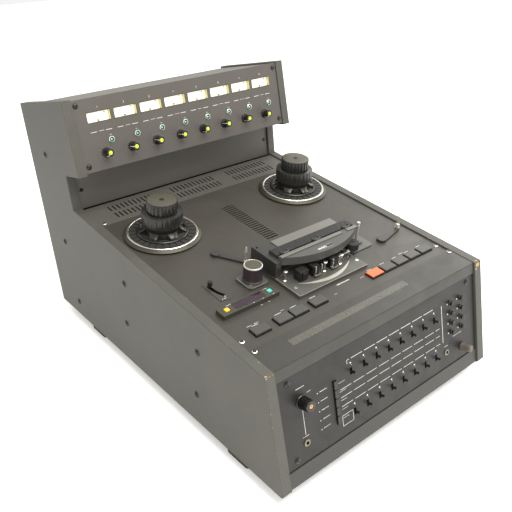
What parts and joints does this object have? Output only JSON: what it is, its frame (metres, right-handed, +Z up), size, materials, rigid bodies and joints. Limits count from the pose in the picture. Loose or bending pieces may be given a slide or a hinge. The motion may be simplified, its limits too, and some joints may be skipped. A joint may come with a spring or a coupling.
{
  "type": "reel to reel tape deck",
  "caption": "Open reel multitrack tape deck with a sloping front panel, two reel tables, head block, transport buttons and an overhanging meter bridge.",
  "frame": {"origin": "centre of the footprint, on the plane the feet stand on", "axes": "+X to the right seen from the front panel, +Y from the front panel to the rear, +Z up"},
  "size_m": [0.5268, 0.7988, 0.5041],
  "materials": {
    "side_panel": "textured paint",
    "chassis_steel": "powder coat",
    "foot_rubber": "matte",
    "rear_steel": "satin",
    "connector_metal": "nickel plated",
    "inlet_plastic": "matte",
    "cover_steel": "textured",
    "panel_anodised": "black anodised",
    "meter_plastic": "satin",
    "lamp_chrome": "polished",
    "deck_black": "satin",
    "deck_anodised": "black anodised",
    "jack_brass": "plated",
    "trim_plastic": "matte",
    "key_plastic": "satin",
    "toggle_black": "moulded",
    "knob_black": "satin",
    "knob_grey": "satin",
    "button_orange": "satin",
    "bezel_plastic": "satin",
    "counter_key": "satin",
    "table_bronze": "anodised",
    "hub_anodised": "anodised",
    "base_metal": "machined and anodised",
    "head_metal": "polished",
    "housing_metal": "anodised",
    "cover_metal": "anodised",
    "roller_metal": "anodised",
    "shaft_steel": "ground",
    "arm_steel": "black enamel",
    "pinch_rubber": "matte",
    "motor_steel": "plated",
    "transformer_steel": "varnished",
    "card_laminate": "solder mask",
    "screw_steel": "plated",
    "button_black": "satin"
  },
  "bodies": {
    "cabinet": {"amplifier_cards": "card_laminate", "bridge_cover": "cover_steel", "chassis": "chassis_steel", "counter_bezel": "bezel_plastic", "deck_plate": "deck_anodised", "feet": "foot_rubber", "front_lip": "deck_anodised", "front_panel": "panel_anodised", "head_base": "base_metal", "head_housing": "housing_metal", "head_stack": "head_metal", "meter_panel": "panel_anodised", "meters": "meter_plastic", "motors": "motor_steel", "phone_jacks": "jack_brass", "power_inlet": "inlet_plastic", "power_supply": "transformer_steel", "rear_connectors": "connector_metal", "rear_panel": "rear_steel", "record_lamps": "lamp_chrome", "screws": "screw_steel", "side_panel_left": "side_panel", "side_panel_right": "side_panel", "trim_knobs": "trim_plastic", "vent_panel": "deck_black"},
    "reel_table_left": {"reel_table_left": "table_bronze"},
    "hub_lock_left": {"hub_lock_left": "hub_anodised"},
    "reel_table_right": {"reel_table_right": "table_bronze"},
    "hub_lock_right": {"hub_lock_right": "hub_anodised"},
    "tension_arm_left": {"tension_arm_left": "arm_steel"},
    "tension_arm_right": {"tension_arm_right": "arm_steel"},
    "timer_roller": {"timer_roller": "roller_metal"},
    "capstan": {"capstan": "shaft_steel"},
    "pinch_arm": {"pinch_arm": "arm_steel"},
    "pinch_roller": {"pinch_roller": "pinch_rubber"},
    "head_cover": {"head_cover": "cover_metal"},
    "edit_button": {"edit_button": "button_black"},
    "spool_button": {"spool_button": "button_black"},
    "cue_button": {"cue_button": "button_black"},
    "memory_button": {"memory_button": "button_black"},
    "record_button": {"record_button": "button_orange"},
    "rewind_button": {"rewind_button": "button_black"},
    "forward_button": {"forward_button": "button_black"},
    "stop_button": {"stop_button": "button_black"},
    "play_button": {"play_button": "button_black"},
    "counter_buttons": {"counter_buttons": "counter_key"},
    "edit_lever": {"edit_lever": "arm_steel"},
    "level_knob_1": {"level_knob_1": "knob_black"},
    "level_knob_2": {"level_knob_2": "knob_black"},
    "level_knob_3": {"level_knob_3": "knob_black"},
    "level_knob_4": {"level_knob_4": "knob_black"},
    "level_knob_5": {"level_knob_5": "knob_black"},
    "level_knob_6": {"level_knob_6": "knob_black"},
    "level_knob_7": {"level_knob_7": "knob_black"},
    "level_knob_8": {"level_knob_8": "knob_black"},
    "monitor_knob": {"monitor_knob": "knob_black"},
    "output_knob": {"output_knob": "knob_grey"},
    "select_buttons": {"select_buttons": "key_plastic"},
    "toggles_upper": {"toggles_upper": "toggle_black"},
    "toggles_lower": {"toggles_lower": "toggle_black"}
  },
  "joints": [
    {"name": "reel_table_left_spin", "type": "hinge", "parent": "cabinet", "child": "reel_table_left", "pos_m": [-0.1638, 0.05167, 0.2704], "axis": [0, -0.1063, 0.9943], "continuous": true},
    {"name": "hub_lock_left_turn", "type": "hinge", "parent": "reel_table_left", "child": "hub_lock_left", "pos_m": [-0.1638, 0.04742, 0.31017], "axis": [0, -0.1063, 0.9943], "range_deg": [0, 90]},
    {"name": "reel_table_right_spin", "type": "hinge", "parent": "cabinet", "child": "reel_table_right", "pos_m": [0.1638, 0.05167, 0.2704], "axis": [0, -0.1063, 0.9943], "continuous": true},
    {"name": "hub_lock_right_turn", "type": "hinge", "parent": "reel_table_right", "child": "hub_lock_right", "pos_m": [0.1638, 0.04742, 0.31017], "axis": [0, -0.1063, 0.9943], "range_deg": [0, 90]},
    {"name": "tension_arm_left_swing", "type": "hinge", "parent": "cabinet", "child": "tension_arm_left", "pos_m": [-0.1246, -0.06, 0.25847], "axis": [0, -0.1063, 0.9943], "range_deg": [-50, 0], "stiffness_Nm_per_rad": 0.05, "springref_deg": 20.05},
    {"name": "tension_arm_right_swing", "type": "hinge", "parent": "cabinet", "child": "tension_arm_right", "pos_m": [0.163, -0.19861, 0.24365], "axis": [0, -0.1063, 0.9943], "range_deg": [0, 45], "stiffness_Nm_per_rad": 0.05, "springref_deg": -20.05},
    {"name": "timer_roller_spin", "type": "hinge", "parent": "cabinet", "child": "timer_roller", "pos_m": [-0.124, -0.16082, 0.24769], "axis": [0, -0.1063, 0.9943], "continuous": true},
    {"name": "capstan_spin", "type": "hinge", "parent": "cabinet", "child": "capstan", "pos_m": [0.118, -0.17375, 0.24631], "axis": [0, -0.1063, 0.9943], "continuous": true},
    {"name": "pinch_arm_swing", "type": "hinge", "parent": "cabinet", "child": "pinch_arm", "pos_m": [0.086, -0.15685, 0.24811], "axis": [0, -0.1063, 0.9943], "range_deg": [0, 42.31], "stiffness_Nm_per_rad": 0.1, "springref_deg": -20.05},
    {"name": "pinch_roller_spin", "type": "hinge", "parent": "pinch_arm", "child": "pinch_roller", "pos_m": [0.08335, -0.19581, 0.25602], "axis": [0, -0.1063, 0.9943], "continuous": true},
    {"name": "head_cover_lift", "type": "hinge", "parent": "cabinet", "child": "head_cover", "pos_m": [0.013, -0.1759, 0.2853], "axis": [-1, 0, 0], "range_deg": [0, 105]},
    {"name": "edit_press", "type": "slide", "parent": "cabinet", "child": "edit_button", "axis": [0, 0.1063, -0.9943], "range_m": [0, 0.0025], "stiffness_N_per_m": 300, "springref_m": -0.002},
    {"name": "spool_press", "type": "slide", "parent": "cabinet", "child": "spool_button", "axis": [0, 0.1063, -0.9943], "range_m": [0, 0.0025], "stiffness_N_per_m": 300, "springref_m": -0.002},
    {"name": "cue_press", "type": "slide", "parent": "cabinet", "child": "cue_button", "axis": [0, 0.1063, -0.9943], "range_m": [0, 0.0025], "stiffness_N_per_m": 300, "springref_m": -0.002},
    {"name": "memory_press", "type": "slide", "parent": "cabinet", "child": "memory_button", "axis": [0, 0.1063, -0.9943], "range_m": [0, 0.0025], "stiffness_N_per_m": 300, "springref_m": -0.002},
    {"name": "record_press", "type": "slide", "parent": "cabinet", "child": "record_button", "axis": [0, 0.1063, -0.9943], "range_m": [0, 0.0025], "stiffness_N_per_m": 300, "springref_m": -0.002},
    {"name": "rewind_press", "type": "slide", "parent": "cabinet", "child": "rewind_button", "axis": [0, 0.1063, -0.9943], "range_m": [0, 0.0025], "stiffness_N_per_m": 300, "springref_m": -0.002},
    {"name": "forward_press", "type": "slide", "parent": "cabinet", "child": "forward_button", "axis": [0, 0.1063, -0.9943], "range_m": [0, 0.0025], "stiffness_N_per_m": 300, "springref_m": -0.002},
    {"name": "stop_press", "type": "slide", "parent": "cabinet", "child": "stop_button", "axis": [0, 0.1063, -0.9943], "range_m": [0, 0.0025], "stiffness_N_per_m": 300, "springref_m": -0.002},
    {"name": "play_press", "type": "slide", "parent": "cabinet", "child": "play_button", "axis": [0, 0.1063, -0.9943], "range_m": [0, 0.0025], "stiffness_N_per_m": 300, "springref_m": -0.002},
    {"name": "counter_press", "type": "slide", "parent": "cabinet", "child": "counter_buttons", "axis": [0, 0.1063, -0.9943], "range_m": [0, 0.0012], "stiffness_N_per_m": 300, "springref_m": -0.001},
    {"name": "edit_lever_swing", "type": "hinge", "parent": "cabinet", "child": "edit_lever", "pos_m": [-0.132, -0.13517, 0.25043], "axis": [0, -0.1063, 0.9943], "range_deg": [0, 25]},
    {"name": "level_knob_1_turn", "type": "hinge", "parent": "cabinet", "child": "level_knob_1", "pos_m": [-0.1939, 0.17571, 0.40159], "axis": [0, -0.9792, 0.2028], "range_deg": [-150, 150]},
    {"name": "level_knob_2_turn", "type": "hinge", "parent": "cabinet", "child": "level_knob_2", "pos_m": [-0.1385, 0.17571, 0.40159], "axis": [0, -0.9792, 0.2028], "range_deg": [-150, 150]},
    {"name": "level_knob_3_turn", "type": "hinge", "parent": "cabinet", "child": "level_knob_3", "pos_m": [-0.0831, 0.17571, 0.40159], "axis": [0, -0.9792, 0.2028], "range_deg": [-150, 150]},
    {"name": "level_knob_4_turn", "type": "hinge", "parent": "cabinet", "child": "level_knob_4", "pos_m": [-0.0277, 0.17571, 0.40159], "axis": [0, -0.9792, 0.2028], "range_deg": [-150, 150]},
    {"name": "level_knob_5_turn", "type": "hinge", "parent": "cabinet", "child": "level_knob_5", "pos_m": [0.0277, 0.17571, 0.40159], "axis": [0, -0.9792, 0.2028], "range_deg": [-150, 150]},
    {"name": "level_knob_6_turn", "type": "hinge", "parent": "cabinet", "child": "level_knob_6", "pos_m": [0.0831, 0.17571, 0.40159], "axis": [0, -0.9792, 0.2028], "range_deg": [-150, 150]},
    {"name": "level_knob_7_turn", "type": "hinge", "parent": "cabinet", "child": "level_knob_7", "pos_m": [0.1385, 0.17571, 0.40159], "axis": [0, -0.9792, 0.2028], "range_deg": [-150, 150]},
    {"name": "level_knob_8_turn", "type": "hinge", "parent": "cabinet", "child": "level_knob_8", "pos_m": [0.1939, 0.17571, 0.40159], "axis": [0, -0.9792, 0.2028], "range_deg": [-150, 150]},
    {"name": "monitor_knob_turn", "type": "hinge", "parent": "cabinet", "child": "monitor_knob", "pos_m": [-0.197, -0.36605, 0.15815], "axis": [0, -0.9792, 0.2028], "range_deg": [-150, 150]},
    {"name": "output_knob_turn", "type": "hinge", "parent": "cabinet", "child": "output_knob", "pos_m": [0.2, -0.38268, 0.07786], "axis": [0, -0.9792, 0.2028], "range_deg": [-150, 150]},
    {"name": "select_press", "type": "slide", "parent": "cabinet", "child": "select_buttons", "axis": [0, 0.9792, -0.2028], "range_m": [0, 0.003], "stiffness_N_per_m": 300, "springref_m": -0.001},
    {"name": "toggles_upper_flip", "type": "hinge", "parent": "cabinet", "child": "toggles_upper", "pos_m": [0, -0.35498, 0.15739], "axis": [1, 0, 0], "range_deg": [-14, 14]},
    {"name": "toggles_lower_flip", "type": "hinge", "parent": "cabinet", "child": "toggles_lower", "pos_m": [0, -0.36988, 0.08542], "axis": [1, 0, 0], "range_deg": [-14, 14]}
  ]
}
